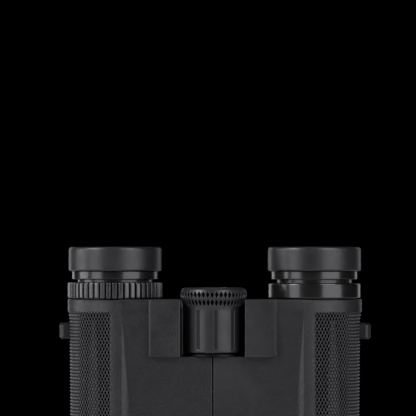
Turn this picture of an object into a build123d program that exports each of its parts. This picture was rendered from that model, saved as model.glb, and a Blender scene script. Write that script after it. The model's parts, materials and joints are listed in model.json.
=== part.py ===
from build123d import *

import math
import os

# Compact roof-prism binoculars, standing on the objective rims with the eyepieces up.
# Millimetres. +Z runs up the optical axes, -Y is the side of the focus wheel, and +X is the user's
# left barrel. The origin is under the middle of the object, on the surface it stands on. The right
# barrel folds about the hinge, and the modelled position is the fully open one.

# Driving dimensions
BARREL_X = 37.0  # half the spacing of the optical axes, fully open
RIM_R = 18.0  # armour at the objective rim
WHEEL_R = 12.4  # focus wheel over its knurl
HINGE_OFFSET = 8.0  # hinge axis in front of the optical axes
AXIS_Y = (HINGE_OFFSET + WHEEL_R - RIM_R) / 2
HINGE_Y = AXIS_Y - HINGE_OFFSET
HINGE = (0.0, HINGE_Y)
SIDES = (("left", 1), ("right", -1))
SEAM = 0.2  # from the middle plane to each half
PLAY = 0.05  # radial clearance of a running fit
GAP = 0.3  # clearance round the hinge knuckles

# Armour
SKIN = 1.1  # armour on the web between the barrels
BODY_TOP_Z = 89.7
BODY_DEPTH = 17.15  # front of the body, in front of the optical axes
APEX_X = 30.0  # the front of the body is flat out to here and then curves back to its side
TOP_BAND_Z = 85.0  # the smooth band above the grip panels starts here
TOP_BAND_R = 17.6
BARREL_R = 17.1  # sides of the barrel at the top of the grip
WAIST_R = 16.8
RIM_FLARE_Z = 5.0
BARREL_LEVELS = (  # height, where the front is furthest forward, side radius, depth
    (RIM_FLARE_Z, BARREL_X, RIM_R, RIM_R),
    (12.0, 34.8, 17.3, 17.3),
    (24.0, APEX_X, WAIST_R, BODY_DEPTH),
    (46.0, APEX_X, WAIST_R, BODY_DEPTH),
    (82.0, APEX_X, BARREL_R, BODY_DEPTH),
    (TOP_BAND_Z, APEX_X, TOP_BAND_R, BODY_DEPTH),
    (BODY_TOP_Z, APEX_X, TOP_BAND_R, BODY_DEPTH),
)
RIM_LIP_R = 14.2  # inside edge of the objective rim
RIM_BEVEL = (0.7, 0.9)
GRIP_Z = (9.0, 84.9)
GRIP_HALF_ANGLE = 88.0

# Web between the barrels
WEB_LOW_Z = 13.0
WEB_FRONT_Y = AXIS_Y - BODY_DEPTH
PLATE_EDGE_DEPTH = 0.15  # how far the front plate lies back at its top and bottom
PLATE_DEPTH = 2.2  # and half way down
PLATE_LEVELS = (  # height and depth of the front plate
    (BODY_TOP_Z + 1, PLATE_EDGE_DEPTH),
    (84.2, PLATE_EDGE_DEPTH),
    (46.0, PLATE_DEPTH),
    (24.0, PLATE_DEPTH),
    (WEB_LOW_Z - 2, PLATE_EDGE_DEPTH),
)
FACET_X = 33.6  # outer line of the sloping facet beside the plate
FACET_SLOPE = 1.5
BACK_POINTS = ((37.0, 9.5), (20.0, 6.0), (6.5, 1.6))
BACK_TOP_Y = 3.8  # back of the web beside the focus wheel
BLOCK_X = (11.85, 23.1)  # raised blocks beside the focus wheel
BLOCK_Y = WEB_FRONT_Y - 1.0
BLOCK_ROOT = 4.2  # thickness of a block, with its root in the web
BLOCK_LOW_Z = 68.6
BLOCK_CORNER_R = 0.8
POCKET_FLOOR_Z = 68.8  # floor between the blocks
KNURL_POCKET_R = 12.9
KNURL_POCKET_Z = 86.4

# Housing and hinge
HOUSING_R = 14.9
HOUSING_Z = (1.6, 88.4)
BORE_R = 13.6
SHOULDER_R = 12.6
SHOULDER_Z = (12.0, 13.4)
KNUCKLE_R = 5.4
KNUCKLE_ROOT_Y = HINGE_Y + 4.5  # back of the ribs that join the knuckles to the web
HINGE_SLOT = (7.5, HINGE_Y - 3, HINGE_Y + 16)  # cut in the armour over the knuckles: half width, front, back
KNUCKLES = {"left": ((20.2, 26.0), (56.2, 68.5)), "right": ((14.0, 19.75), (44.0, 55.75))}
WASHERS_Z = ((19.8, 20.2), (55.8, 56.2))
AXLE_R = 3.2
AXLE_Z = (13.9, 86.0)
ROD_R = 2.1
ROD_Z = (29.0, 63.0)
SPINDLE_R = 1.5
SPINDLE_Z = (50.0, 90.0)

# Focus wheel
WHEEL_Z = (70.1, 94.0)
WHEEL_LOW_R = 10.87
SEAT_RING = (10.4, 6.4)
SEAT_TOP_Z = 69.6
WHEEL_CONE_Z = 86.9  # the knurled rim flares out from here
WHEEL_WEB_Z = (87.5, 92.4)
WHEEL_BORE_R = 9.2
WHEEL_CAP_R = 8.95
WHEEL_GROOVES = 10
WHEEL_GROOVE_LOW_Z = 71.1
WHEEL_GROOVE = (1.2, 1.3, 14.7)
SCREW_HEAD_Z = 91.0
SCREW_LOW_Z = 86.4

# Focus drive
FOCUS_TRAVEL = 2.25  # each way
ARM_WIDTH = 5.0
ARM_RING_R = 5.1
ARM_HUB_R = 3.9
ARM_Z = {"left": (35.1, 37.4), "right": (32.9, 35.0)}
CELL_Z = (31.0, 39.0)
ARM_REACH = math.hypot(BARREL_X, HINGE_OFFSET)
ARM_ANGLE = math.degrees(math.atan2(HINGE_OFFSET, BARREL_X))
PIN_R = 0.9
PIN_Z = 36.4
ARM_HUB_Z = (31.5, ARM_Z["left"][0])
CLIP_Z = (31.6, 32.5)

# Objective, focusing lens and prisms. A lens face is its height at the middle and at the edge
OBJECTIVE_R = 13.5
CROWN_FACES = ((5.4, 7.0), (10.2, 8.4))
FLINT_FACES = (CROWN_FACES[1], (11.6, 12.0))
BEZEL_Z = (3.0, 6.7)
BEZEL_BORE_R = 12.7
BEZEL_NOTCH = (2.0, 1.6, 1.0)
FOCUS_LENS_R = 11.0
FOCUS_LENS_FACES = ((33.2, 32.5), (35.6, 36.6))
LEDGE = 1.5  # thickness of the ledge that a cell's lens sits on
CAGE_Z = (46.0, 70.0)
PRISM_LOW_Z = 47.5
PRISM_POCKET = (10.0, 8.4)  # half width and half depth
PRISM_HALF_SECTION = ((-9.4, 0), (8.0, 0), (9.6, 3.9), (2.1, 11.5))
PRISM_ROOF_SECTION = ((-9.6, 0.5), (9.4, 19.5), (9.4, 21.0), (-5.6, 21.0), (-9.6, 12.0))
PRISM_WINDOW_R = 8.0
PRISM_CLIP_THICKNESS = 0.8

# Eyepieces
TUBE_R = 13.9
TUBE_BORE_R = 11.6
TUBE_LOW_Z = 79.0
TUBE_TOP_Z = 104.5
TUBE_KEYWAY = (8.0, 40.0, 2.0)  # across the tube's lower end, for the tool that screws it in
FLANGE_R = 15.0
FLANGE_TOP_Z = 89.9
COLLAR_R = 17.2
COLLAR_Z = (90.0, 95.6)
DIOPTRE_R = 17.65
DIOPTRE_Z = (90.0, 95.9)
DIOPTRE_RIBS = 48
DIOPTRE_TRAVEL = 0.8
DIOPTRE_PIN_R = 0.8
DIOPTRE_PIN_Z = 93.0
DIOPTRE_GROOVE_R = 15.3
DIOPTRE_GROOVE_Z = (91.2, 94.8)
RIB_R = 0.75
OCULAR_R = 9.8
OCULAR_Z = (86.0, 104.0)
OCULAR_STOP_R = 8.4
FIELD_LENS_FACES = ((87.6, 88.6), (92.0, 91.0))
EYE_LENS_FACES = ((97.2, 98.6), (102.4, 101.6))
RETAINER_Z = (101.8, 103.6)
RETAINER_BORE_R = 8.6
CUP_R = 17.25
CUP_Z = (100.0, 109.0)
CUP_BORE_R = 12.0
CUP_LIP_Z = (104.9, 105.6)  # under side and inner edge of the lip over the sleeve
CUP_TOP_R = 15.4  # inner edge of the flat top
SLEEVE_R = 16.0
SLEEVE_Z = (96.9, 104.3)
NECK_R = 15.1  # the sleeve inside the cup

# Strap lugs
LUG_Z = (74.8, 80.8)
LUG_OUT_X = 57.7
LUG_Y = AXIS_Y + 3.0
LUG_WIDTH = 10.0
LUG_SLOT = (1.8, 6.4)
LUG_SLOT_X = 55.5
LUG_CORNER_R = 2.0
LUG_SCREW_Z = (76.3, 79.3)
LUG_SCREW_R = 0.8
LUG_SCREW_HEAD = (1.3, 0.8)  # radius and height
LUG_SCREW_DEPTH = 1.8  # into the lug

UP = (Align.CENTER, Align.CENTER, Align.MIN)


def axis_plane(centre, angle=0):
    """A plane through a vertical axis: its x is outward at the angle and its y is up."""
    a = math.radians(angle)
    return Plane((*centre, 0), x_dir=(math.cos(a), math.sin(a), 0), z_dir=(math.sin(a), -math.cos(a), 0))


def ring(centre, z_span, r_out, r_in=0, mode=Mode.ADD):
    """A disc, or a ring where r_in is given, about a vertical axis."""
    with BuildSketch(Plane.XY.offset(z_span[0])) as section:
        with Locations(centre):
            Circle(r_out)
            if r_in > 0:
                Circle(r_in, mode=Mode.SUBTRACT)
    extrude(section.sketch, amount=z_span[1] - z_span[0], mode=mode)


def turned(centre, points):
    """The outline given as (radius, height) points, turned about a vertical axis."""
    with BuildSketch(axis_plane(centre)) as section:
        with BuildLine():
            Polyline(*points, close=True)
        make_face()
    revolve(section.sketch, axis=Axis((*centre, 0), (0, 0, 1)))


def block(x_span, y_span, z_span, mode=Mode.ADD):
    """A plain rectangular block between the given limits."""
    size = [abs(span[1] - span[0]) for span in (x_span, y_span, z_span)]
    middle = [(span[0] + span[1]) / 2 for span in (x_span, y_span, z_span)]
    with Locations(tuple(middle)):
        Box(*size, mode=mode)


def spherical_arc(start_z, edge_z, radius):
    """Half the section of a lens face, from its middle to its edge."""
    sag = edge_z - start_z
    sphere = (radius**2 + sag**2) / (2 * abs(sag))
    half_sag = sphere - math.sqrt(sphere**2 - (radius / 2) ** 2)
    return (0, start_z), (radius / 2, start_z + math.copysign(half_sag, sag)), (radius, edge_z)


def lens(centre, radius, low, high):
    """A round lens. low and high are each face's height at its middle and at its edge."""
    low_arc = spherical_arc(*low, radius)
    high_arc = spherical_arc(*high, radius)
    with BuildSketch(axis_plane(centre)) as section:
        with BuildLine():
            ThreePointArc(*low_arc)
            Line(low_arc[2], high_arc[2])
            ThreePointArc(*high_arc[::-1])
            Line(high_arc[0], low_arc[0])
        make_face()
    revolve(section.sketch, axis=Axis((*centre, 0), (0, 0, 1)))


def barrel_section(z, apex_x, side_r, depth):
    """The outline of the left barrel: a half circle behind and two quarters of ellipses in front."""
    with BuildSketch(Plane.XY.offset(z)) as section:
        with BuildLine():
            apex = (apex_x, AXIS_Y)
            CenterArc((BARREL_X, AXIS_Y), side_r, 0, 180)
            EllipticalCenterArc(apex, apex_x - BARREL_X + side_r, depth, 180, arc_size=90)
            EllipticalCenterArc(apex, BARREL_X + side_r - apex_x, depth, 270, arc_size=90)
        make_face()
    return section.sketch


def armour_barrel(side):
    """The outside of one barrel: flared rim, waist, long grip stretch and top band."""
    with BuildPart() as barrel:
        bevel_in, bevel_up = RIM_BEVEL
        rim = ((0, 0), (RIM_R - bevel_in, 0), (RIM_R, bevel_up), (RIM_R, RIM_FLARE_Z), (0, RIM_FLARE_Z))
        turned((BARREL_X, AXIS_Y), rim)
        sections = [barrel_section(*level) for level in BARREL_LEVELS]
        for lower, upper in zip(sections, sections[1:]):
            loft([lower, upper], ruled=True)
    add(barrel.part if side > 0 else mirror(barrel.part, about=Plane.YZ))


def housing_barrel(side):
    """The solid barrel of the housing, before its bores."""
    ring((side * BARREL_X, AXIS_Y), HOUSING_Z, HOUSING_R)


def web(side, skin, x_start, z_span):
    """The solid web from x_start out to the barrel, inside the armour by skin."""
    front_y = WEB_FRONT_Y + skin
    back = [(x, y - skin) for x, y in BACK_POINTS if x > x_start]
    if x_start < BLOCK_X[0]:
        back.append((SEAM, HINGE_Y + GAP))
    else:
        back.append((x_start, BACK_TOP_Y - skin))
    outline = [(x_start, front_y), (APEX_X, front_y), (BARREL_X, AXIS_Y - HOUSING_R + 0.1), *back]
    with BuildSketch(Plane.XY.offset(z_span[0])) as section:
        with BuildLine():
            Polyline(*[(side * x, y) for x, y in outline], close=True)
        make_face()
    extrude(section.sketch, amount=z_span[1] - z_span[0])


def raised_block(side, skin):
    """The raised block beside the focus wheel."""
    with BuildSketch(Plane.XZ.offset(-BLOCK_Y - skin)) as face:
        with BuildLine():
            Polyline(
                (side * (BLOCK_X[0] + skin), BLOCK_LOW_Z + skin),
                (side * (BLOCK_X[1] - skin), BLOCK_LOW_Z + skin),
                (side * (BLOCK_X[1] - skin), body_top(skin)),
                (side * (BLOCK_X[0] + skin), body_top(skin)),
                close=True,
            )
        make_face()
        outer_low = face.vertices().group_by(Axis.Y)[0].sort_by(Axis.X)[-1 if side > 0 else 0]
        fillet(outer_low, BLOCK_CORNER_R)
    extrude(face.sketch, amount=-BLOCK_ROOT)


def body_top(skin):
    """The top of the armour, or of the housing inside it."""
    return HOUSING_Z[1] if skin else BODY_TOP_Z


def plate_recess(side, skin):
    """Cuts the front of the web back to a sloping plate, with a sloping facet along the barrel."""
    front = WEB_FRONT_Y + skin
    far = front - 2 * RIM_R
    outer_x = FACET_X + skin / 2
    for (z_high, depth_high), (z_low, depth_low) in zip(PLATE_LEVELS, PLATE_LEVELS[1:]):
        sections = []
        for z, depth in ((z_low, depth_low), (z_high, depth_high)):
            with BuildSketch(Plane.XY.offset(z)) as section:
                with BuildLine():
                    Polyline(
                        (-side, far),
                        (side * outer_x, far),
                        (side * outer_x, front),
                        (side * (outer_x - FACET_SLOPE * depth), front + depth),
                        (-side, front + depth),
                        close=True,
                    )
                make_face()
            sections.append(section.sketch)
        loft(sections, ruled=True, mode=Mode.SUBTRACT)


def body_form(side, skin, add_barrel):
    """The outside of one half as a solid: the armour's when skin is 0, otherwise the housing's."""
    with BuildPart() as form:
        add_barrel(side)
        web(side, skin, SEAM, (WEB_LOW_Z + skin, POCKET_FLOOR_Z - skin))
        web(side, skin, BLOCK_X[0] + skin, (POCKET_FLOOR_Z - skin, body_top(skin)))
        plate_recess(side, skin)
        raised_block(side, skin)
        ring(HINGE, (KNURL_POCKET_Z - skin, BODY_TOP_Z + 1), KNURL_POCKET_R + skin, mode=Mode.SUBTRACT)
    return form.part


def arm_bar(side, z_span, width, mode=Mode.ADD):
    """A straight bar from the hinge axis towards the optical axis."""
    angle = ARM_ANGLE if side > 0 else 180 - ARM_ANGLE
    with Locations(Location((*HINGE, z_span[0]), (0, 0, angle))):
        Box(ARM_REACH, width, z_span[1] - z_span[0], align=(Align.MIN, Align.CENTER, Align.MIN), mode=mode)


def lug_pin(side, x_span, z, radius, mode=Mode.ADD):
    """A cylinder along X in the middle of a strap lug."""
    with BuildSketch(Plane.YZ.offset(side * x_span[0])) as section:
        with Locations((LUG_Y, z)):
            Circle(radius)
    extrude(section.sketch, amount=side * (x_span[1] - x_span[0]), mode=mode)


def prism(side, points, half_width):
    """A prism across the barrel. Its section is measured from the optical axis and the cage's floor."""
    with BuildSketch(Plane.XZ.offset(-AXIS_Y)) as section:
        with BuildLine():
            Polyline(*[(side * (BARREL_X + x), PRISM_LOW_Z + z) for x, z in points], close=True)
        make_face()
    extrude(section.sketch, amount=half_width, both=True)


def save(builder, name):
    """Labels a finished piece and writes it out."""
    builder.part.label = name
    export_step(builder.part, f"parts/{name}.step")


def lug_block(side, mode):
    """The block that a strap lug is cut from, and the hole that it sits in."""
    block(
        (side * (BARREL_X + HOUSING_R - 1), side * LUG_OUT_X),
        (LUG_Y - LUG_WIDTH / 2, LUG_Y + LUG_WIDTH / 2),
        LUG_Z,
        mode=mode,
    )


os.makedirs("parts", exist_ok=True)

for side_name, side in SIDES:
    centre = (side * BARREL_X, AXIS_Y)
    outside = body_form(side, 0.0, armour_barrel)
    inside = body_form(side, SKIN, housing_barrel)

    # Housing: barrel, web, hinge knuckles and the slot for the focus arm
    with BuildPart() as housing:
        add(inside)
        ring(HINGE, (WEB_LOW_Z, POCKET_FLOOR_Z), KNUCKLE_R + GAP, mode=Mode.SUBTRACT)
        for knuckle_z in KNUCKLES[side_name]:
            ring(HINGE, knuckle_z, KNUCKLE_R)
            root_z = (max(knuckle_z[0], WEB_LOW_Z + SKIN), min(knuckle_z[1], POCKET_FLOOR_Z - SKIN))
            block((0, side * (KNUCKLE_R + SKIN)), (HINGE_Y - KNUCKLE_R, KNUCKLE_ROOT_Y), root_z)
        axle_hole_r = AXLE_R if side > 0 else AXLE_R + PLAY
        ring(HINGE, (WEB_LOW_Z, POCKET_FLOOR_Z), axle_hole_r, mode=Mode.SUBTRACT)
        ring(centre, (HOUSING_Z[0], SHOULDER_Z[0]), BORE_R, mode=Mode.SUBTRACT)
        ring(centre, SHOULDER_Z, SHOULDER_R, mode=Mode.SUBTRACT)
        ring(centre, (SHOULDER_Z[1], HOUSING_Z[1]), BORE_R, mode=Mode.SUBTRACT)
        arm_low, arm_high = ARM_Z[side_name]
        slot_z = (arm_low - FOCUS_TRAVEL - GAP, arm_high + FOCUS_TRAVEL + GAP)
        arm_bar(side, slot_z, ARM_WIDTH + 2 * GAP, mode=Mode.SUBTRACT)
        for screw_z in LUG_SCREW_Z:
            head_x = (BARREL_X + BORE_R - 1, BARREL_X + BORE_R)
            lug_pin(side, head_x, screw_z, LUG_SCREW_HEAD[0], mode=Mode.SUBTRACT)
            lug_pin(side, (head_x[0], BARREL_X + HOUSING_R), screw_z, LUG_SCREW_R, mode=Mode.SUBTRACT)
    save(housing, f"{side_name}_housing")

    # Grip panel that fills a window in the outer side of the armour
    grip_start = -GRIP_HALF_ANGLE if side > 0 else 180 - GRIP_HALF_ANGLE
    with BuildPart() as window:
        with BuildSketch(axis_plane(centre, grip_start)) as grip_section:
            with BuildLine():
                Polyline(
                    (HOUSING_R - 0.5, GRIP_Z[0]),
                    (RIM_R + 1, GRIP_Z[0]),
                    (RIM_R + 1, GRIP_Z[1]),
                    (HOUSING_R - 0.5, GRIP_Z[1]),
                    close=True,
                )
            make_face()
        revolve(grip_section.sketch, axis=Axis((*centre, 0), (0, 0, 1)), revolution_arc=2 * GRIP_HALF_ANGLE)
    with BuildPart() as grip:
        add(outside)
        add(window.part, mode=Mode.INTERSECT)
        add(inside, mode=Mode.SUBTRACT)
        lug_block(side, Mode.SUBTRACT)
    save(grip, f"{side_name}_grip")

    # Rubber armour over the housing
    with BuildPart() as armour:
        add(outside)
        add(inside, mode=Mode.SUBTRACT)
        add(window.part, mode=Mode.SUBTRACT)
        lug_block(side, Mode.SUBTRACT)
        ring(centre, (0, HOUSING_Z[0]), RIM_LIP_R, mode=Mode.SUBTRACT)
        ring(centre, (HOUSING_Z[1], BODY_TOP_Z), FLANGE_R, mode=Mode.SUBTRACT)
        ring(HINGE, (WEB_LOW_Z - 1, POCKET_FLOOR_Z + 1), KNUCKLE_R + GAP, mode=Mode.SUBTRACT)
        block((0, side * HINGE_SLOT[0]), HINGE_SLOT[1:], (WEB_LOW_Z - 1, POCKET_FLOOR_Z + 1), Mode.SUBTRACT)
    save(armour, f"{side_name}_armour")

    # Objective: retaining ring and cemented doublet
    with BuildPart() as bezel:
        ring(centre, BEZEL_Z, BORE_R, BEZEL_BORE_R)
        chamfer(bezel.edges().group_by(Axis.Z)[0].sort_by(SortBy.LENGTH)[0], 0.6)
        with Locations((*centre, BEZEL_Z[0])):
            with GridLocations(1, BORE_R + BEZEL_BORE_R, 1, 2):
                Box(*BEZEL_NOTCH, align=UP, mode=Mode.SUBTRACT)
    save(bezel, f"{side_name}_objective_bezel")

    with BuildPart() as crown:
        lens(centre, OBJECTIVE_R, *CROWN_FACES)
    save(crown, f"{side_name}_objective_crown")

    with BuildPart() as flint:
        lens(centre, OBJECTIVE_R, *FLINT_FACES)
    save(flint, f"{side_name}_objective_flint")

    # Inner focusing cell, its lens and the arm that moves them
    with BuildPart() as focus_cell:
        ring(centre, CELL_Z, BORE_R - PLAY, FOCUS_LENS_R)
        ring(centre, (CELL_Z[0], CELL_Z[0] + LEDGE), FOCUS_LENS_R, FOCUS_LENS_R - 1)
    save(focus_cell, f"{side_name}_focus_cell")

    with BuildPart() as focus_lens:
        lens(centre, FOCUS_LENS_R, *FOCUS_LENS_FACES)
    save(focus_lens, f"{side_name}_focus_lens")

    with BuildPart() as focus_arm:
        arm_bar(side, ARM_Z[side_name], ARM_WIDTH)
        ring(HINGE, ARM_Z[side_name], ARM_RING_R)
        if side > 0:
            ring(HINGE, ARM_HUB_Z, ARM_HUB_R)
        ring(centre, (0, BODY_TOP_Z), BORE_R - PLAY, mode=Mode.SUBTRACT)
        arm_hole_r = AXLE_R + PLAY if side > 0 else ARM_HUB_R + PLAY
        ring(HINGE, (0, BODY_TOP_Z), arm_hole_r, mode=Mode.SUBTRACT)
        if side > 0:
            with Locations(Location((*HINGE, PIN_Z), (0, 90, 0))):
                Cylinder(PIN_R, 2 * ARM_RING_R, mode=Mode.SUBTRACT)
    save(focus_arm, f"{side_name}_focus_arm")

    # Roof prism pair in its cage
    pocket_x, pocket_y = PRISM_POCKET
    with BuildPart() as cage:
        ring(centre, CAGE_Z, BORE_R)
        with Locations((*centre, PRISM_LOW_Z)):
            Box(2 * pocket_x, 2 * pocket_y, CAGE_Z[1] - PRISM_LOW_Z, align=UP, mode=Mode.SUBTRACT)
        ring(centre, (CAGE_Z[0], PRISM_LOW_Z), PRISM_WINDOW_R, mode=Mode.SUBTRACT)
    save(cage, f"{side_name}_prism_cage")

    with BuildPart() as half_prism:
        prism(side, PRISM_HALF_SECTION, pocket_y)
    save(half_prism, f"{side_name}_half_prism")

    with BuildPart() as schmidt_prism:
        prism(side, PRISM_ROOF_SECTION, pocket_y)
    save(schmidt_prism, f"{side_name}_schmidt_prism")

    with BuildPart() as prism_clip:
        ring(centre, (CAGE_Z[1], CAGE_Z[1] + PRISM_CLIP_THICKNESS), BORE_R, PRISM_WINDOW_R)
    save(prism_clip, f"{side_name}_prism_clip")

    # Eyepiece: tube, sliding cell, lenses and their retaining ring
    with BuildPart() as tube:
        ring(centre, (TUBE_LOW_Z, HOUSING_Z[1]), BORE_R - PLAY, TUBE_BORE_R)
        ring(centre, (HOUSING_Z[1], FLANGE_TOP_Z), FLANGE_R, TUBE_BORE_R)
        ring(centre, (FLANGE_TOP_Z, TUBE_TOP_Z), TUBE_R, TUBE_BORE_R)
        with Locations((*centre, TUBE_LOW_Z)):
            Box(*TUBE_KEYWAY, align=UP, mode=Mode.SUBTRACT)
        for head_z in LUG_SCREW_Z:
            lug_pin(side, (BARREL_X, BARREL_X + BORE_R), head_z, 1.6, mode=Mode.SUBTRACT)
        if side < 0:
            slot_half = DIOPTRE_TRAVEL + PIN_R
            slot_z = (DIOPTRE_PIN_Z - slot_half, DIOPTRE_PIN_Z + slot_half)
            block((centre[0] - 1, centre[0] + 1), (AXIS_Y, AXIS_Y + 20), slot_z, Mode.SUBTRACT)
    save(tube, f"{side_name}_eyepiece_tube")

    with BuildPart() as ocular_cell:
        ring(centre, OCULAR_Z, TUBE_BORE_R - PLAY, OCULAR_R)
        ring(centre, (OCULAR_Z[0], OCULAR_Z[0] + LEDGE), OCULAR_R, OCULAR_STOP_R)
        if side < 0:
            with Locations(Location((centre[0], AXIS_Y, DIOPTRE_PIN_Z), (90, 0, 0))):
                Cylinder(DIOPTRE_PIN_R, 40, align=(Align.CENTER, Align.CENTER, Align.MAX), mode=Mode.SUBTRACT)
    save(ocular_cell, f"{side_name}_ocular_cell")

    with BuildPart() as field_lens:
        lens(centre, OCULAR_R, *FIELD_LENS_FACES)
    save(field_lens, f"{side_name}_field_lens")

    with BuildPart() as eye_lens:
        lens(centre, OCULAR_R, *EYE_LENS_FACES)
    save(eye_lens, f"{side_name}_eye_lens")

    with BuildPart() as retainer:
        ring(centre, RETAINER_Z, OCULAR_R, RETAINER_BORE_R)
        chamfer(retainer.edges().group_by(Axis.Z)[-1].sort_by(SortBy.LENGTH)[0], 0.7)
    save(retainer, f"{side_name}_ocular_retainer")

    # Twist-up eyecup: the sleeve that slides on the tube and the rubber cup that turns on it
    sleeve_shoulder_z = CUP_Z[0] - PLAY
    with BuildPart() as sleeve:
        ring(centre, (SLEEVE_Z[0], sleeve_shoulder_z), SLEEVE_R, TUBE_R + PLAY)
        chamfer(sleeve.edges().group_by(Axis.Z)[0].sort_by(SortBy.LENGTH)[-1], 0.4)
        ring(centre, (sleeve_shoulder_z, SLEEVE_Z[1]), NECK_R, TUBE_R + PLAY)
    save(sleeve, f"{side_name}_eyecup_sleeve")

    cup_outline = (
        (NECK_R + PLAY, CUP_Z[0]),
        (CUP_R - 0.7, CUP_Z[0]),
        (CUP_R, CUP_Z[0] + 0.7),
        (CUP_R, CUP_Z[1]),
        (CUP_TOP_R, CUP_Z[1]),
        (CUP_BORE_R, CUP_LIP_Z[1]),
        (CUP_BORE_R, CUP_LIP_Z[0]),
        (NECK_R + PLAY, CUP_LIP_Z[0]),
    )
    with BuildPart() as cup:
        turned(centre, cup_outline)
        top_edges = cup.edges().group_by(Axis.Z)[-1].sort_by(SortBy.LENGTH)
        fillet(top_edges[-1], 1.3)
    save(cup, f"{side_name}_eyecup")

    # Strap lug and the screws that hold it from inside the housing
    screw_x = (BARREL_X + BORE_R, BARREL_X + HOUSING_R + LUG_SCREW_DEPTH)
    with BuildPart() as lug:
        lug_block(side, Mode.ADD)
        ring(centre, (0, BODY_TOP_Z), HOUSING_R, mode=Mode.SUBTRACT)
        outer_edges = lug.edges().filter_by(Axis.Z).sort_by(Axis.X)
        fillet(outer_edges[-2:] if side > 0 else outer_edges[:2], LUG_CORNER_R)
        outer_face = lug.faces().sort_by(Axis.X)[-1 if side > 0 else 0]
        chamfer(outer_face.edges().filter_by(Axis.Y), 0.7)
        slot_x = (side * (LUG_SLOT_X - LUG_SLOT[0] / 2), side * (LUG_SLOT_X + LUG_SLOT[0] / 2))
        block(slot_x, (LUG_Y - LUG_SLOT[1] / 2, LUG_Y + LUG_SLOT[1] / 2), LUG_Z, Mode.SUBTRACT)
        for screw_z in LUG_SCREW_Z:
            lug_pin(side, screw_x, screw_z, LUG_SCREW_R, mode=Mode.SUBTRACT)
    save(lug, f"{side_name}_strap_lug")

    with BuildPart() as lug_screws:
        for screw_z in LUG_SCREW_Z:
            head_r, head_height = LUG_SCREW_HEAD
            lug_pin(side, (BARREL_X + BORE_R - head_height, BARREL_X + BORE_R), screw_z, head_r)
            lug_pin(side, screw_x, screw_z, LUG_SCREW_R)
    save(lug_screws, f"{side_name}_lug_screws")

left_centre = (BARREL_X, AXIS_Y)
right_centre = (-BARREL_X, AXIS_Y)

# Gloss collar under the left eyepiece
with BuildPart() as left_collar:
    ring(left_centre, COLLAR_Z, COLLAR_R, TUBE_R)
    rim_edges = left_collar.edges().sort_by(SortBy.LENGTH)[-3:].filter_by(GeomType.CIRCLE)
    chamfer(rim_edges, 0.4)
save(left_collar, "left_collar")

# Ribbed dioptre ring under the right eyepiece, and the pin that moves the eyepiece's cell
with BuildPart() as dioptre_ring:
    with BuildSketch(Plane.XY.offset(DIOPTRE_Z[0])) as dioptre_section:
        with Locations(right_centre):
            Circle(DIOPTRE_R - 0.55)
            with PolarLocations(DIOPTRE_R - RIB_R, DIOPTRE_RIBS):
                Circle(RIB_R)
            Circle(TUBE_R + PLAY, mode=Mode.SUBTRACT)
    extrude(amount=DIOPTRE_Z[1] - DIOPTRE_Z[0])
    ring(right_centre, DIOPTRE_GROOVE_Z, DIOPTRE_GROOVE_R, TUBE_R, mode=Mode.SUBTRACT)
save(dioptre_ring, "right_dioptre_ring")

with BuildPart() as dioptre_pin:
    with Locations(Location((right_centre[0], AXIS_Y + OCULAR_R + 0.3, DIOPTRE_PIN_Z), (-90, 0, 0))):
        Cylinder(DIOPTRE_PIN_R, 4.6, align=UP)
save(dioptre_pin, "right_dioptre_pin")

# Hinge: hollow axle, nut, washers and front cap
with BuildPart() as hinge_axle:
    ring(HINGE, AXLE_Z, AXLE_R)
    ring(HINGE, (AXLE_Z[0], ROD_Z[1] + 3), ROD_R + PLAY, mode=Mode.SUBTRACT)
    ring(HINGE, (ROD_Z[1] + 3, AXLE_Z[1]), SPINDLE_R + PLAY, mode=Mode.SUBTRACT)
    slot_reach = PIN_R + FOCUS_TRAVEL + GAP
    with Locations((*HINGE, PIN_Z)):
        Box(2 * AXLE_R, 2 * (PIN_R + 0.1), 2 * slot_reach, mode=Mode.SUBTRACT)
save(hinge_axle, "hinge_axle")

with BuildPart() as hinge_nut:
    with BuildSketch(Plane.XY.offset(KNUCKLES["left"][1][1])) as nut_section:
        with Locations(HINGE):
            RegularPolygon(5.3, 6)
            Circle(AXLE_R, mode=Mode.SUBTRACT)
    extrude(amount=2.2)
save(hinge_nut, "hinge_nut")

with BuildPart() as hinge_washers:
    for washer_z in WASHERS_Z:
        ring(HINGE, washer_z, KNUCKLE_R - 0.2, AXLE_R)
save(hinge_washers, "hinge_washers")

with BuildPart() as hinge_cap:
    ring(HINGE, (12.2, AXLE_Z[0]), KNUCKLE_R - 0.1)
    ring(HINGE, (AXLE_Z[0], 17.0), ROD_R)
    chamfer(hinge_cap.edges().group_by(Axis.Z)[0], 0.6)
save(hinge_cap, "hinge_cap")

with BuildPart() as wheel_seat:
    ring(HINGE, (POCKET_FLOOR_Z, SEAT_TOP_Z), *SEAT_RING)
save(wheel_seat, "focus_wheel_seat")

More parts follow.
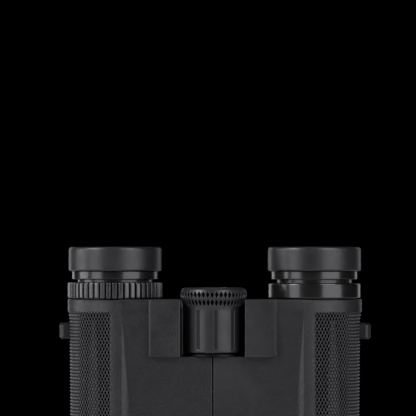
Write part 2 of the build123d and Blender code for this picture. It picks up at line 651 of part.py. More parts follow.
# Focus wheel, its cap and screw, and the spindle that it turns
wheel_outline = (
    (WHEEL_BORE_R, WHEEL_Z[0]),
    (WHEEL_LOW_R, WHEEL_Z[0]),
    (WHEEL_LOW_R, WHEEL_CONE_Z),
    (WHEEL_R - 0.25, 90.0),
    (WHEEL_R, 91.0),
    (WHEEL_R, 92.0),
    (WHEEL_R - 0.5, 93.3),
    (WHEEL_R - 1.2, WHEEL_Z[1]),
    (WHEEL_CAP_R + PLAY, WHEEL_Z[1]),
    (WHEEL_CAP_R + PLAY, WHEEL_WEB_Z[1]),
    (SPINDLE_R, WHEEL_WEB_Z[1]),
    (SPINDLE_R, WHEEL_WEB_Z[0]),
    (WHEEL_BORE_R, WHEEL_WEB_Z[0]),
)
with BuildPart() as wheel:
    turned(HINGE, wheel_outline)
    ring(HINGE, (73.0, WHEEL_WEB_Z[0]), 5.2, AXLE_R + PLAY)
    ring(HINGE, (SPINDLE_Z[1], SCREW_HEAD_Z), SPINDLE_R, PIN_R)
    ring(HINGE, (SCREW_HEAD_Z, WHEEL_WEB_Z[1]), 2.3, mode=Mode.SUBTRACT)
    with Locations((*HINGE, WHEEL_GROOVE_LOW_Z)):
        with PolarLocations(WHEEL_LOW_R, WHEEL_GROOVES, start_angle=-83):
            Box(*WHEEL_GROOVE, align=UP, mode=Mode.SUBTRACT)
save(wheel, "focus_wheel")

with BuildPart() as wheel_cap:
    ring(HINGE, (WHEEL_WEB_Z[1], WHEEL_Z[1] - 0.3), WHEEL_CAP_R)
    fillet(wheel_cap.edges().group_by(Axis.Z)[-1], 0.4)
save(wheel_cap, "focus_wheel_cap")

with BuildPart() as wheel_screw:
    ring(HINGE, (SCREW_HEAD_Z, SCREW_HEAD_Z + 1.3), 2.2)
    ring(HINGE, (SCREW_LOW_Z, SCREW_HEAD_Z), PIN_R)
save(wheel_screw, "focus_wheel_screw")

with BuildPart() as spindle:
    ring(HINGE, SPINDLE_Z, SPINDLE_R)
    ring(HINGE, (SCREW_LOW_Z, SPINDLE_Z[1]), PIN_R, mode=Mode.SUBTRACT)
save(spindle, "focus_spindle")

# Focus carriage: the threaded rod in the axle, its cross pin and the clip under the arms
with BuildPart() as rod:
    ring(HINGE, ROD_Z, ROD_R)
    ring(HINGE, (SPINDLE_Z[0] - 3, ROD_Z[1]), SPINDLE_R + PLAY, mode=Mode.SUBTRACT)
    with Locations(Location((*HINGE, PIN_Z), (0, 90, 0))):
        Cylinder(PIN_R, 2 * ROD_R + 1, mode=Mode.SUBTRACT)
save(rod, "focus_rod")

with BuildPart() as carriage_pin:
    with Locations(Location((*HINGE, PIN_Z), (0, 90, 0))):
        Cylinder(PIN_R, 2 * ARM_RING_R - 0.4)
save(carriage_pin, "focus_carriage_pin")

with BuildPart() as carriage_clip:
    ring(HINGE, CLIP_Z, ARM_HUB_R + 1, ARM_HUB_R)
    block((-1.5, 1.5), (HINGE_Y, HINGE_Y + 6), CLIP_Z, Mode.SUBTRACT)
save(carriage_clip, "focus_carriage_clip")
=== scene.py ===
import json
import math

import bmesh
import bpy
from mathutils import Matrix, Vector

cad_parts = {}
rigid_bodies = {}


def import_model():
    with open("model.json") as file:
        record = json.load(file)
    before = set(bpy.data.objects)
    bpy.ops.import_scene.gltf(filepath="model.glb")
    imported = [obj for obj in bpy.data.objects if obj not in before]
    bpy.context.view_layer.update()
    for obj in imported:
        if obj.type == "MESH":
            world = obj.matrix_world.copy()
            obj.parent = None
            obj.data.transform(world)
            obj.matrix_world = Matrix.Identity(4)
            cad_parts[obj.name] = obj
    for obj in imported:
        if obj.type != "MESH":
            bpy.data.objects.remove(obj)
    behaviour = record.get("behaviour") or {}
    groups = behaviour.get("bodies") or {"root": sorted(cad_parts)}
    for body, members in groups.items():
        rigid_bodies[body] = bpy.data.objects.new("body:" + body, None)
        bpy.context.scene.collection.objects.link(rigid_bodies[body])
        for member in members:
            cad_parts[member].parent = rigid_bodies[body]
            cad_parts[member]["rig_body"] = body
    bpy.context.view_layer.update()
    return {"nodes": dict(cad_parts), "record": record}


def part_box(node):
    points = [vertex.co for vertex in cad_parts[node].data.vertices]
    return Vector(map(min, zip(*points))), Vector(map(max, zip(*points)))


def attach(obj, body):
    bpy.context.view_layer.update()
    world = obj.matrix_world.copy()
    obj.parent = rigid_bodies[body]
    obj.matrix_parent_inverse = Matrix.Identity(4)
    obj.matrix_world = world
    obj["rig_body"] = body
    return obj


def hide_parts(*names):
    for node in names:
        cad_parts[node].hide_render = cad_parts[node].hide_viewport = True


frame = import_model()

MM = 0.001
FULL_TURN = 2 * math.pi
SIDES = ("left", "right")


def middle(node):
    """The middle of a CAD node's box."""
    low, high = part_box(node)
    return (low + high) / 2


def z_span(node):
    """A CAD node's lowest and highest z."""
    low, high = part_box(node)
    return low.z, high.z


def radius_of(node):
    """The outer radius of a round CAD node."""
    low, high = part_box(node)
    return (high.y - low.y) / 2


AXIS = {side: middle(f"{side}_eyecup") for side in SIDES}
HINGE = middle("focus_wheel_cap")

# Roundings of corners that are out of sight or look sharp
HAIR = 0.05 * MM
CRISP = 0.1 * MM


# Meshes


def placed(name, mesh, material, node):
    """A smooth-shaded object that stands for a CAD node and rides on that node's body."""
    mesh.polygons.foreach_set("use_smooth", [True] * len(mesh.polygons))
    mesh.materials.append(material)
    piece = bpy.data.objects.new(name, mesh)
    bpy.context.scene.collection.objects.link(piece)
    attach(piece, frame["nodes"][node]["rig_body"])
    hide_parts(node)
    return piece


def even_normals(piece):
    """Lets the large faces set the shading, so that flats beside small roundings stay flat."""
    weighted = piece.modifiers.new("even_normals", "WEIGHTED_NORMAL")
    weighted.keep_sharp = True
    weighted.weight = 90


def new_piece(name, vertices, faces, cavity, material, node):
    """A new mesh in a CAD node's place.

    cavity is how deep each vertex lies in a moulded hollow, 0 to 1, by which materials with pits paint shade
    into the colour and dull the surface.
    """
    mesh = bpy.data.meshes.new(name)
    mesh.from_pydata(vertices, [], faces)
    mesh.validate()
    mesh.attributes.new("cavity", "FLOAT", "POINT").data.foreach_set("value", cavity)
    shape = bmesh.new()
    shape.from_mesh(mesh)
    bmesh.ops.recalc_face_normals(shape, faces=shape.faces)
    shape.to_mesh(mesh)
    shape.free()
    even_normals(placed(name, mesh, material, node))


def softened(node, width, material):
    """A copy of a CAD node's shape with rounded edges and crisp creases, as moulded rubber comes out."""
    crease_angle, rounded_angle = math.radians(16), math.radians(50)
    name = f"{node}_soft"
    mesh = frame["nodes"][node].data.copy()
    mesh.name = name
    mesh.materials.clear()
    shape = bmesh.new()
    shape.from_mesh(mesh)
    bmesh.ops.remove_doubles(shape, verts=shape.verts, dist=0.002 * MM)
    bmesh.ops.dissolve_limit(shape, angle_limit=math.radians(0.4), verts=shape.verts, edges=shape.edges)
    shape.to_mesh(mesh)
    shape.free()
    piece = placed(name, mesh, material, node)
    mesh.set_sharp_from_angle(angle=crease_angle)
    bevel = piece.modifiers.new("rounding", "BEVEL")
    bevel.width = width
    bevel.segments = 3
    bevel.limit_method = "ANGLE"
    bevel.angle_limit = rounded_angle
    bevel.use_clamp_overlap = False
    even_normals(piece)


def rounded(corners, steps):
    """A closed outline of (radius, z) points from (radius, z, rounding) corners."""
    most = 0.49  # of an edge, that a rounding may take
    points = []
    for index, (r, z, rounding) in enumerate(corners):
        here = Vector((r, z))
        before = Vector(corners[index - 1][:2]) - here
        after = Vector(corners[(index + 1) % len(corners)][:2]) - here
        start = here + before.normalized() * min(rounding, before.length * most)
        end = here + after.normalized() * min(rounding, after.length * most)
        for step in range(steps + 1):
            t = step / steps
            points.append(start * (1 - t) ** 2 + here * 2 * t * (1 - t) + end * t**2)
    return points


def refined(outline, z_step, z_low, z_high):
    """The outline with extra points on its steep runs between two heights."""
    points = []
    for index, here in enumerate(outline):
        following = outline[(index + 1) % len(outline)]
        points.append(here)
        rise = abs(following.y - here.y)
        inside = min(here.y, following.y) >= z_low - z_step and max(here.y, following.y) <= z_high + z_step
        if inside and rise > z_step:
            count = math.ceil(rise / z_step)
            points += [here.lerp(following, k / count) for k in range(1, count)]
    return points


def uncut(angle, r, z):
    """The carving of a plain turned piece: none."""
    return 0


def lathe(name, centre, outline, material, node, segments=192, carved=uncut, depth=0):
    """Turns a closed outline into a solid ring.

    carved(angle, radius, z) is how far the surface is sunk there, 0 to 1, where 1 is depth.
    """
    vertices, cavity = [], []
    for column in range(segments):
        angle = FULL_TURN * column / segments
        for r, z in outline:
            hollow = carved(angle, r, z)
            reach = r - depth * hollow
            cavity.append(hollow)
            vertices.append((centre.x + reach * math.cos(angle), centre.y + reach * math.sin(angle), z))
    rows = len(outline)
    faces = []
    for column in range(segments):
        near, far = column * rows, ((column + 1) % segments) * rows
        for row in range(rows):
            above = (row + 1) % rows
            faces.append((near + row, far + row, far + above, near + above))
    new_piece(name, vertices, faces, cavity, material, node)


# Materials


class Nodes:
    """A material's node tree with short ways to add and join nodes."""

    def __init__(self, name):
        self.material = bpy.data.materials.new(name)
        self.material.use_nodes = True
        self.tree = self.material.node_tree
        self.shader = self.tree.nodes["Principled BSDF"]
        self.place = self.add("ShaderNodeTexCoord").outputs["Object"]

    def add(self, kind, **values):
        """Adds a node, with values for its sockets and its own settings."""
        node = self.tree.nodes.new(kind)
        for key, value in values.items():
            if key in node.inputs:
                node.inputs[key].default_value = value
            else:
                setattr(node, key, value)
        return node

    def join(self, output, socket):
        """Links an output to a socket, or to the shader's socket of that name."""
        if isinstance(socket, str):
            socket = self.shader.inputs[socket]
        self.tree.links.new(output, socket)

    def noise(self, size, detail=2.0, roughness=0.5):
        """Noise whose features are about size metres across."""
        node = self.add("ShaderNodeTexNoise", Scale=1 / size, Detail=detail, Roughness=roughness)
        self.join(self.place, node.inputs["Vector"])
        return node.outputs["Fac"]

    def cells(self, size):
        """Voronoi distance with cells about size metres across."""
        node = self.add("ShaderNodeTexVoronoi", Scale=1 / size)
        self.join(self.place, node.inputs["Vector"])
        return node.outputs["Distance"]

    def rings(self, centre, pitch):
        """A wave in rings about a vertical axis, from -1 to 1."""
        offset = self.add("ShaderNodeVectorMath", operation="SUBTRACT")
        self.join(self.place, offset.inputs[0])
        offset.inputs[1].default_value = centre
        level = self.add("ShaderNodeVectorMath", operation="MULTIPLY")
        self.join(offset.outputs["Vector"], level.inputs[0])
        level.inputs[1].default_value = (FULL_TURN / pitch, FULL_TURN / pitch, 0)
        reach = self.add("ShaderNodeVectorMath", operation="LENGTH")
        self.join(level.outputs["Vector"], reach.inputs[0])
        wave = self.add("ShaderNodeMath", operation="SINE")
        self.join(reach.outputs["Value"], wave.inputs[0])
        return wave.outputs["Value"]

    def spread(self, value, low, high, from_low=0.3, from_high=0.7):
        """A value mapped onto another range. Most of a noise lies between 0.3 and 0.7."""
        node = self.add("ShaderNodeMapRange")
        self.join(value, node.inputs["Value"])
        limits = {"From Min": from_low, "From Max": from_high, "To Min": low, "To Max": high}
        for key, limit in limits.items():
            node.inputs[key].default_value = limit
        return node.outputs["Result"]

    def mix(self, share, colour_a, colour_b):
        """A blend of two colours by share. Each is an (r, g, b) or another node's output."""
        node = self.add("ShaderNodeMix", data_type="RGBA")
        self.join(share, node.inputs["Factor"])
        colours = [socket for socket in node.inputs if socket.type == "RGBA"]
        for socket, colour in zip(colours, (colour_a, colour_b)):
            if isinstance(colour, tuple):
                socket.default_value = (*colour, 1)
            else:
                self.join(colour, socket)
        return [output for output in node.outputs if output.type == "RGBA"][0]

    def bump(self, *layers):
        """Adds (height output, depth in metres) layers of relief to the surface."""
        previous = None
        for height, depth in layers:
            node = self.add("ShaderNodeBump", Strength=1.0, Distance=depth)
            self.join(height, node.inputs["Height"])
            if previous:
                self.join(previous, node.inputs["Normal"])
            previous = node.outputs["Normal"]
        self.join(previous, "Normal")

    def plain(self, **values):
        """Sets the shader's own sockets."""
        for key, value in values.items():
            self.shader.inputs[key.replace("_", " ")].default_value = value


def grey(level, blueness=1.0):
    """A grey of a level, whose blue is blueness times that."""
    return level, level, level * blueness


def moulded(name, dark, light, rough, grain, depth, specular=0.45, pits=0.0, speckle=0.0):
    """Moulded rubber or plastic, cloudy between dark and light, with a fine grain and paler edges.

    pits is how strongly painted shade darkens its moulded hollows and how dull they are, and speckle how
    strong its pale flecks are.
    """
    patch = 9 * MM
    edge = light * 2.2
    fleck_level = edge * 0.8
    # painted shade: the hollows' colour is a near-black that stands in for the shade falling in them; the
    # rougher, less specular finish there is surface finish
    painted_hollow_shade, hollow_rough, hollow_specular = dark * 0.08, 0.9, specular * 0.15

    nodes = Nodes(name)
    cloud = nodes.noise(patch, detail=4)
    shape = nodes.add("ShaderNodeNewGeometry").outputs["Pointiness"]
    wear = nodes.spread(shape, 0.0, 0.5, 0.52, 0.62)
    base = nodes.mix(nodes.spread(cloud, 0, 1), grey(dark, 1.06), grey(light, 1.06))
    colour = nodes.mix(wear, base, grey(edge, 1.04))
    gleam = nodes.spread(nodes.noise(patch / 3), rough - 0.05, rough + 0.06)
    if speckle:
        fleck = nodes.spread(nodes.noise(grain, detail=1), 0.0, speckle, 0.55, 0.80)
        colour = nodes.mix(fleck, colour, grey(fleck_level))
    if pits:
        cavity = nodes.add("ShaderNodeAttribute", attribute_name="cavity").outputs["Fac"]
        # painted shade: the colour darkens with cavity depth, where shade falls in the moulded hollows
        colour = nodes.mix(nodes.spread(cavity, 0.0, pits, 0.10, 0.70), colour, grey(painted_hollow_shade))
        gleam = nodes.mix(nodes.spread(cavity, 0.0, pits, 0.10, 0.80), gleam, grey(hollow_rough))
        nodes.join(nodes.spread(cavity, specular, hollow_specular, 0.10, 0.80), "Specular IOR Level")
    nodes.join(colour, "Base Color")
    nodes.join(gleam, "Roughness")
    nodes.plain(Specular_IOR_Level=specular)
    nodes.bump(
        (nodes.noise(grain, detail=3, roughness=0.6), depth),
        (nodes.cells(grain * 1.6), depth * 0.5),
    )
    return nodes.material


def gloss(name, shade, rough):
    """Glossy black plastic with faint clouds and polishing marks."""
    nodes = Nodes(name)
    cloud = nodes.noise(5 * MM, detail=3)
    nodes.join(nodes.mix(nodes.spread(cloud, 0, 1), grey(shade), grey(shade * 1.2)), "Base Color")
    nodes.join(nodes.spread(cloud, rough, rough + 0.03), "Roughness")
    nodes.bump((nodes.noise(0.9 * MM, detail=2), 0.0015 * MM))
    nodes.plain(Specular_IOR_Level=0.6, Coat_Weight=0.35, Coat_Roughness=0.08)
    return nodes.material


def turned_cap(name, shade):
    """Satin black plastic with turned rings about the focus wheel's axis."""
    nodes = Nodes(name)
    rings = nodes.rings(HINGE, 0.8 * MM)
    nodes.join(nodes.mix(nodes.spread(rings, 0, 1, -1, 1), grey(shade), grey(shade * 1.5)), "Base Color")
    nodes.join(nodes.spread(nodes.noise(2 * MM), 0.30, 0.42), "Roughness")
    nodes.bump((rings, 0.012 * MM), (nodes.noise(0.3 * MM), 0.005 * MM))
    return nodes.material


def metal(name, colour, rough):
    """Turned metal with a fine grain."""
    nodes = Nodes(name)
    cloud = nodes.noise(3 * MM, detail=3)
    dim = tuple(0.8 * channel for channel in colour)
    nodes.join(nodes.mix(nodes.spread(cloud, 0, 1), dim, colour), "Base Color")
    nodes.join(nodes.spread(cloud, rough, rough + 0.12), "Roughness")
    nodes.bump((nodes.noise(0.5 * MM, detail=2), 0.006 * MM))
    nodes.plain(Metallic=1.0)
    return nodes.material


def coated_glass(name):
    """Lens glass over a dark barrel, with a coating that turns from green to violet at its edge."""
    green, violet, coating = (0.010, 0.022, 0.018), (0.045, 0.018, 0.060), (0.55, 0.95, 0.75, 1)
    nodes = Nodes(name)
    facing = nodes.add("ShaderNodeLayerWeight", Blend=0.35).outputs["Facing"]
    dust = nodes.spread(nodes.noise(1.6 * MM, detail=5, roughness=0.7), 0.02, 0.10, 0.5, 0.8)
    nodes.join(nodes.mix(facing, green, violet), "Base Color")
    nodes.join(dust, "Roughness")
    nodes.plain(IOR=1.6, Specular_IOR_Level=0.7, Coat_Weight=1.0, Coat_Roughness=0.02, Coat_Tint=coating)
    return nodes.material


RUBBER = moulded(
    "stippled_rubber", dark=0.014, light=0.018, rough=0.40, grain=0.60 * MM, depth=0.040 * MM,
    specular=0.55, speckle=1.0,
)
GRIP = moulded(
    "grip_rubber", dark=0.058, light=0.070, rough=0.42, grain=0.30 * MM, depth=0.006 * MM, pits=1.0,
)
CUP = moulded(
    "eyecup_rubber", dark=0.018, light=0.022, rough=0.37, grain=0.60 * MM, depth=0.004 * MM,
    specular=0.6, speckle=0.3,
)
RIBS = moulded(
    "dioptre_rubber", dark=0.030, light=0.038, rough=0.24, grain=0.50 * MM, depth=0.004 * MM,
    specular=0.9, pits=1.0,
)
WHEEL = moulded(
    "wheel_plastic", dark=0.024, light=0.030, rough=0.36, grain=0.30 * MM, depth=0.005 * MM,
    specular=0.5, pits=1.0,
)
LUG = moulded("lug_plastic", dark=0.010, light=0.014, rough=0.36, grain=0.25 * MM, depth=0.006 * MM)
SHELL = moulded("housing_plastic", dark=0.016, light=0.022, rough=0.48, grain=0.25 * MM, depth=0.010 * MM)
GLOSS = gloss("gloss_black", shade=0.010, rough=0.24)
NECK = gloss("neck_black", shade=0.025, rough=0.34)
CAP = turned_cap("wheel_cap_plastic", shade=0.016)
ANODISED = metal("black_anodised", (0.030, 0.030, 0.032), rough=0.38)
STEEL = metal("turned_steel", (0.55, 0.55, 0.56), rough=0.28)
BRASS = metal("turned_brass", (0.60, 0.43, 0.18), rough=0.30)
GLASS = coated_glass("coated_glass")

SLOT_MATERIALS = {
    "armour": RUBBER,
    "grip": GRIP,
    "eyecup": CUP,
    "housing": SHELL,
    "gloss_ring": GLOSS,
    "dioptre": RIBS,
    "neck": NECK,
    "wheel": WHEEL,
    "wheel_cap": CAP,
    "lug": LUG,
    "black_metal": ANODISED,
    "steel": STEEL,
    "brass": BRASS,
    "coated_glass": GLASS,
}


def paint_cad_nodes():
    """Gives every CAD node the material of its slot."""
    for entry in frame["record"]["subparts"]:
        node = frame["nodes"][entry["node"]]
        node.data.materials.clear()
        node.data.materials.append(SLOT_MATERIALS[entry["material_slot"]])


# Grip panels

GRIP_HALF_ANGLE = math.radians(88)  # how far a panel wraps its barrel, each way from the strap lug
GRIP_CELLS_ROUND, GRIP_CELLS_HIGH = 38, 31
COLUMNS_PER_CELL, ROWS_PER_CELL = 8, 10
BACK_STEP = 8  # columns of the front to one of the back
GRIP_RELIEF = 0.60 * MM
GRIP_SUNK = 0.08 * MM  # how far the ridges lie under the CAD surface
RIDGE_HALF_WIDTH = 0.27  # of a cell
RIB_LEVEL, RIB_SWING = 0.68, 0.32  # of the relief
RIBS_BEGIN, RIBS_BLEND = math.radians(46), math.radians(16)  # from the strap lug's middle, and over


def outer_reach(node, centre, angles):
    """How far out a grip panel's face lies from the barrel's axis: one list of (z, radius) for each angle."""
    far_out, inset = 50 * MM, 0.02 * MM
    source = frame["nodes"][node]
    lug_low, lug_high = z_span(node.replace("grip", "strap_lug"))
    heights = {round(vertex.co.z, 5) for vertex in source.data.vertices}
    low, high = min(heights), max(heights)
    levels = sorted(z for z in heights if not lug_low - MM < z < lug_high + MM)
    reaches = []
    for angle in angles:
        outward = Vector((math.cos(angle), math.sin(angle), 0))
        reach = []
        for z in levels:
            start = Vector((centre.x, centre.y, min(max(z, low + inset), high - inset))) + far_out * outward
            hit, place, _, _ = source.ray_cast(start, -outward)
            if hit:
                reach.append((z, math.hypot(place.x - centre.x, place.y - centre.y)))
        reaches.append(reach)
    return reaches


def along(profile, z):
    """The radius at a height, by straight lines between the profile's points."""
    for (z_low, r_low), (z_high, r_high) in zip(profile, profile[1:]):
        if z <= z_high:
            return r_low + (r_high - r_low) * max(0, (z - z_low) / (z_high - z_low))
    return profile[-1][1]


def lattice_height(u, v, sideways):
    """Relief of the mesh, 0 in a pit to 1 on a ridge, for cells 1 wide and 1 high.

    Where sideways is 1 the diamonds have given way to level ribs, two to a cell.
    """
    away = min(abs((phase + 0.5) % 1 - 0.5) for phase in (u + v, u - v))
    diamonds = 1 - min(1, away / RIDGE_HALF_WIDTH)
    ribs = RIB_LEVEL + RIB_SWING * math.cos(2 * FULL_TURN * v)
    return diamonds + (ribs - diamonds) * sideways


def strap_lug_hollow(side):
    """Gives a function that tells whether a point of the grip lies inside the strap lug's root."""
    low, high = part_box(f"{side}_strap_lug")
    centre = AXIS[side]
    outward_sign = 1 if side == "left" else -1
    least_outward = math.cos(math.radians(60))

    def inside(angle, z, r):
        y = centre.y + r * math.sin(angle)
        outward = math.cos(angle) * outward_sign > least_outward
        return outward and low.z < z < high.z and low.y < y < high.y

    return inside


def grip_panel(side):
    """One rubber grip panel, with its diamond mesh as real relief."""
    node = f"{side}_grip"
    centre = AXIS[side]
    z_low, z_high = z_span(node)
    facing = 0 if side == "left" else math.pi
    columns, rows = GRIP_CELLS_ROUND * COLUMNS_PER_CELL, GRIP_CELLS_HIGH * ROWS_PER_CELL
    stride = rows + 1
    back_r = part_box(f"{side}_housing")[1].y - centre.y + HAIR
    in_lug = strap_lug_hollow(side)
    first, last = facing - GRIP_HALF_ANGLE, facing + GRIP_HALF_ANGLE
    angles = [first + 2 * GRIP_HALF_ANGLE * column / columns for column in range(columns + 1)]
    inset = math.radians(0.3)
    inner_angles = [min(max(angle, first + inset), last - inset) for angle in angles]
    reaches = outer_reach(node, centre, inner_angles)

    # The front
    vertices, cavity = [], []
    for column, (angle, reach) in enumerate(zip(angles, reaches)):
        sideways = min(1, max(0, (RIBS_BEGIN - abs(angle - facing)) / RIBS_BLEND))
        for row in range(rows + 1):
            z = z_low + (z_high - z_low) * row / rows
            height = lattice_height(column / COLUMNS_PER_CELL, row / ROWS_PER_CELL, sideways)
            if row in (0, rows) or column in (0, columns):
                height = 1.0
            r = along(reach, z) - GRIP_SUNK - GRIP_RELIEF * (1 - height)
            if in_lug(angle, z, r):
                r = back_r + HAIR
            cavity.append(1 - height)
            vertices.append((centre.x + r * math.cos(angle), centre.y + r * math.sin(angle), z))
    faces = []
    for column in range(columns):
        for row in range(rows):
            start = column * stride + row
            faces.append((start, start + stride, start + stride + 1, start + 1))

    # The back, with coarser columns, and the four edges
    back = {}
    for column in range(0, columns + 1, BACK_STEP):
        x = centre.x + back_r * math.cos(angles[column])
        y = centre.y + back_r * math.sin(angles[column])
        for row in range(rows + 1):
            back[column, row] = len(vertices)
            cavity.append(0)
            vertices.append((x, y, z_low + (z_high - z_low) * row / rows))
    for column in range(0, columns, BACK_STEP):
        following = column + BACK_STEP
        for row in range(rows):
            near, near_above = back[column, row], back[column, row + 1]
            faces.append((near, near_above, back[following, row + 1], back[following, row]))
        for row in (0, rows):
            front = [c * stride + row for c in range(column, following + 1)]
            faces.append([*front, back[following, row], back[column, row]])
    for column in (0, columns):
        for row in range(rows):
            start = column * stride + row
            faces.append((start, start + 1, back[column, row + 1], back[column, row]))
    new_piece(f"{side}_grip_mesh", vertices, faces, cavity, GRIP, node)


# Round pieces


def eyecup(side):
    """The rubber eyecup: a rolled lip, a plain outside and a dished inside."""
    node = f"{side}_eyecup"
    low, high = z_span(node)
    r = radius_of(node)
    inner = radius_of(f"{side}_eyecup_sleeve") - 0.8 * MM
    lip_inner, well_r = r - 2.0 * MM, r - 5.2 * MM
    dish_z, shelf_z = high - 3.4 * MM, high - 4.05 * MM
    corners = (
        (inner, low, 0.15 * MM),
        (r, low, 0.8 * MM),
        (r, high, 1.5 * MM),
        (lip_inner, high, 0.8 * MM),
        (well_r, dish_z, 0.5 * MM),
        (well_r, shelf_z, CRISP),
        (inner, shelf_z, CRISP),
    )
    lathe(f"{side}_eyecup_rubber", AXIS[side], rounded(corners, 6), CUP, node)


def eyecup_sleeve(side):
    """The gloss sleeve that shows as a ring under the eyecup."""
    node = f"{side}_eyecup_sleeve"
    low, high = z_span(node)
    ring_top = z_span(f"{side}_eyecup")[0] - HAIR
    r = radius_of(node)
    inside_cup = r - 0.9 * MM
    bore = radius_of(f"{side}_eyepiece_tube") - 1.05 * MM
    corners = (
        (bore, low, CRISP),
        (r, low, 0.45 * MM),
        (r, ring_top, 0.2 * MM),
        (inside_cup, ring_top, CRISP),
        (inside_cup, high, 0.2 * MM),
        (bore, high, CRISP),
    )
    lathe(f"{side}_sleeve_gloss", AXIS[side], rounded(corners, 5), GLOSS, node)


def collar_outline(node, bore):
    """The outline of a plain collar with soft outer edges."""
    low, high = z_span(node)
    r = radius_of(node)
    corners = ((bore, low, CRISP), (r, low, 0.5 * MM), (r, high, 0.7 * MM), (bore, high, CRISP))
    return rounded(corners, 6)


def left_collar():
    """The smooth gloss collar under the left eyepiece."""
    node = "left_collar"
    outline = collar_outline(node, bore=radius_of("left_eyepiece_tube") - 1.1 * MM)
    lathe("left_collar_gloss", AXIS["left"], outline, GLOSS, node)


def dioptre_ring():
    """The ribbed dioptre ring under the right eyepiece."""
    node = "right_dioptre_ring"
    outside = radius_of(node) - 1.2 * MM
    ribs, steps_per_rib = 48, 16
    rib_share = 0.5  # of the way round, the rest being grooves
    row_height = 0.5 * MM

    def grooves(angle, r, z):
        if r < outside:
            return 0
        away = abs((angle * ribs / FULL_TURN) % 1 - 0.5) * 2
        return max(0, (away - rib_share) / (1 - rib_share)) ** 1.2

    outline = collar_outline(node, bore=radius_of("right_eyepiece_tube") - 1.05 * MM)
    lathe("dioptre_ring_ribs", AXIS["right"], refined(outline, row_height, *z_span(node)), RIBS, node,
          segments=ribs * steps_per_rib, carved=grooves, depth=0.85 * MM)


def eyepiece_neck(side):
    """The part of the eyepiece tube that shows, as one smooth turned piece."""
    node = f"{side}_eyepiece_tube"
    low, high = z_span(node)
    body_top = z_span(f"{side}_armour")[1]
    flange_low, flange_high = body_top - 1.3 * MM, body_top + 0.2 * MM
    flange = radius_of(node)
    tube, bore = flange - 1.1 * MM, flange - 3.4 * MM
    root = tube - 0.35 * MM
    corners = (
        (bore, low, CRISP),
        (root, low, CRISP),
        (root, flange_low, HAIR),
        (flange, flange_low, CRISP),
        (flange, flange_high, 0.15 * MM),
        (tube, flange_high, CRISP),
        (tube, high, 0.3 * MM),
        (bore, high, 0.2 * MM),
    )
    lathe(f"{side}_neck", AXIS[side], rounded(corners, 4), NECK, node)


# Focus wheel


def focus_wheel():
    """The focus wheel: two rows of diamond pits on its flared rim and ten shallow grooves below."""
    node = "focus_wheel"
    low, high = z_span(node)
    flare_low, flare_high, rim_z = high - 7.1 * MM, high - 4.0 * MM, high - 2.2 * MM
    cap_low, web_low = z_span("focus_wheel_cap")[0], flare_low + 0.6 * MM
    rim = radius_of(node)
    body_r = rim - 1.53 * MM
    bore, outside = body_r - 1.65 * MM, body_r - 0.3 * MM
    cap_r, screw_r = radius_of("focus_wheel_cap") + 0.06 * MM, 2 * MM
    pits, steps_per_pit, pit_depth, pit_half_height = 46, 12, 0.75 * MM, 1.25 * MM
    pit_share, pit_steepness = 0.80, 2.4
    pit_rows = (high - 2.6 * MM, high - 5.5 * MM)
    grooves, groove_half_width, groove_depth = 10, 0.66 * MM, 0.3 * MM
    groove_low, groove_high = low + 1.3 * MM, high - 8.2 * MM
    first_groove = math.radians(-83)
    row_height = 0.2 * MM

    def pit(angle, z):
        around = abs((angle * pits / FULL_TURN) % 1 - 0.5) * 2 / pit_share
        inward = max(1 - around - (abs(z - row_z) / pit_half_height) ** 1.5 for row_z in pit_rows)
        return min(1, max(0, inward) * pit_steepness)

    def groove(angle, r, z):
        place = (angle - first_groove) * grooves / FULL_TURN
        away = abs((place + 0.5) % 1 - 0.5) * FULL_TURN / grooves * r
        inside = groove_low < z < groove_high and away < groove_half_width
        return groove_depth / pit_depth if inside else 0

    def carved(angle, r, z):
        if r < outside:
            return 0
        return pit(angle, z) if z > groove_high + MM else groove(angle, r, z)

    corners = (
        (bore, low, 0.3 * MM),
        (body_r, low, 0.6 * MM),
        (body_r, flare_low, 1.6 * MM),
        (rim - 0.2 * MM, flare_high, 0.6 * MM),
        (rim, rim_z, 0.5 * MM),
        (rim - 0.9 * MM, high, 1.0 * MM),
        (cap_r, high, 0.3 * MM),
        (cap_r, cap_low, HAIR),
        (screw_r, cap_low, HAIR),
        (screw_r, web_low, HAIR),
        (bore, web_low, HAIR),
    )
    outline = refined(rounded(corners, 6), row_height, low + 2 * row_height, high)
    lathe("focus_wheel_knurled", HINGE, outline, WHEEL, node,
          segments=pits * steps_per_pit, carved=carved, depth=pit_depth)


# Stage

LAMP_COLOUR = (0.99, 0.98, 1.035)
BESIDE = 0.14  # height of the lights that stand beside the object


def area_light(name, azimuth, height, size, power, distance=0.8, aim_z=0.08):
    """A soft box at an azimuth from the camera side, in degrees, aimed at the object."""
    turn = math.radians(azimuth)
    place = Vector((distance * math.sin(turn), -distance * math.cos(turn), height))
    lamp = bpy.data.lights.new(name, "AREA")
    lamp.shape = "RECTANGLE"
    lamp.size, lamp.size_y = size
    lamp.energy = power
    lamp.color = LAMP_COLOUR
    light = bpy.data.objects.new(name, lamp)
    light.location = place
    light.rotation_euler = (Vector((0, 0, aim_z)) - place).to_track_quat("-Z", "Y").to_euler()
    bpy.context.scene.collection.objects.link(light)


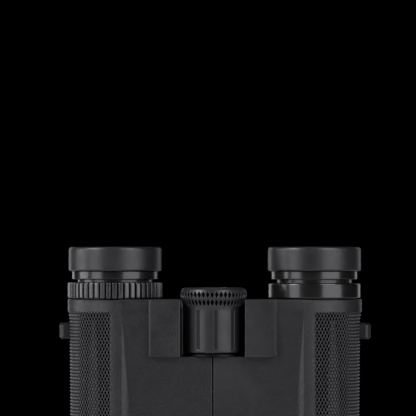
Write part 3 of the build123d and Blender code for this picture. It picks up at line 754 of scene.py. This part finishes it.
def floor():
    """A pale round floor."""
    mesh = bpy.data.meshes.new("floor")
    disc = bmesh.new()
    bmesh.ops.create_circle(disc, cap_ends=True, segments=128, radius=0.8)
    disc.to_mesh(mesh)
    disc.free()
    pale = Nodes("pale_floor")
    cloud = pale.spread(pale.noise(40 * MM, detail=3), 0, 1)
    pale.join(pale.mix(cloud, (0.70, 0.70, 0.69), (0.76, 0.76, 0.75)), "Base Color")
    pale.plain(Roughness=0.7)
    mesh.materials.append(pale.material)
    ground = bpy.data.objects.new("floor", mesh)
    bpy.context.scene.collection.objects.link(ground)


def studio():
    """Dark surround, and soft boxes at the sides, above and faintly behind."""
    world = bpy.data.worlds.new("surround")
    world.use_nodes = True
    world.node_tree.nodes["Background"].inputs["Color"].default_value = (0.0004, 0.0004, 0.0005, 1)
    bpy.context.scene.world = world

    area_light("side_left", -88, BESIDE, (0.42, 0.55), 1.9)
    area_light("soft_left", -48, BESIDE, (0.40, 0.55), 1.5)
    area_light("soft_right", 47, BESIDE, (0.72, 0.55), 2.6)
    area_light("high_left", -57, 0.62, (0.32, 0.30), 4.5)
    area_light("high_right", 40, 0.62, (0.52, 0.30), 3.2)
    area_light("edge_left", -145, BESIDE, (0.25, 0.55), 0.45)
    area_light("edge_right", 145, BESIDE, (0.25, 0.55), 0.30)
    area_light("top", 180, 0.85, (0.50, 0.40), 0.4, distance=0.15, aim_z=0.10)


def camera():
    """Level with the eyecups and a little to the object's left, looking at the focus wheel's side."""
    distance, height, azimuth = 1.1, 0.106, math.radians(2.5)
    view_width = 0.1543  # what the picture spans at the object
    aim = Vector((-0.0024, 0, 0.1234))
    place = Vector((distance * math.sin(azimuth), -distance * math.cos(azimuth), height))
    view = bpy.data.cameras.new("camera")
    view.sensor_width = 36
    view.lens = view.sensor_width * distance / view_width
    view.clip_start = 0.01
    eye = bpy.data.objects.new("camera", view)
    eye.location = place
    eye.rotation_euler = (aim - place).to_track_quat("-Z", "Y").to_euler()
    bpy.context.scene.collection.objects.link(eye)
    bpy.context.scene.camera = eye


camera()
floor()
studio()
paint_cad_nodes()
for side in SIDES:
    softened(f"{side}_armour", 0.35 * MM, RUBBER)
    grip_panel(side)
    eyecup(side)
    eyecup_sleeve(side)
    eyepiece_neck(side)
left_collar()
dioptre_ring()
focus_wheel()
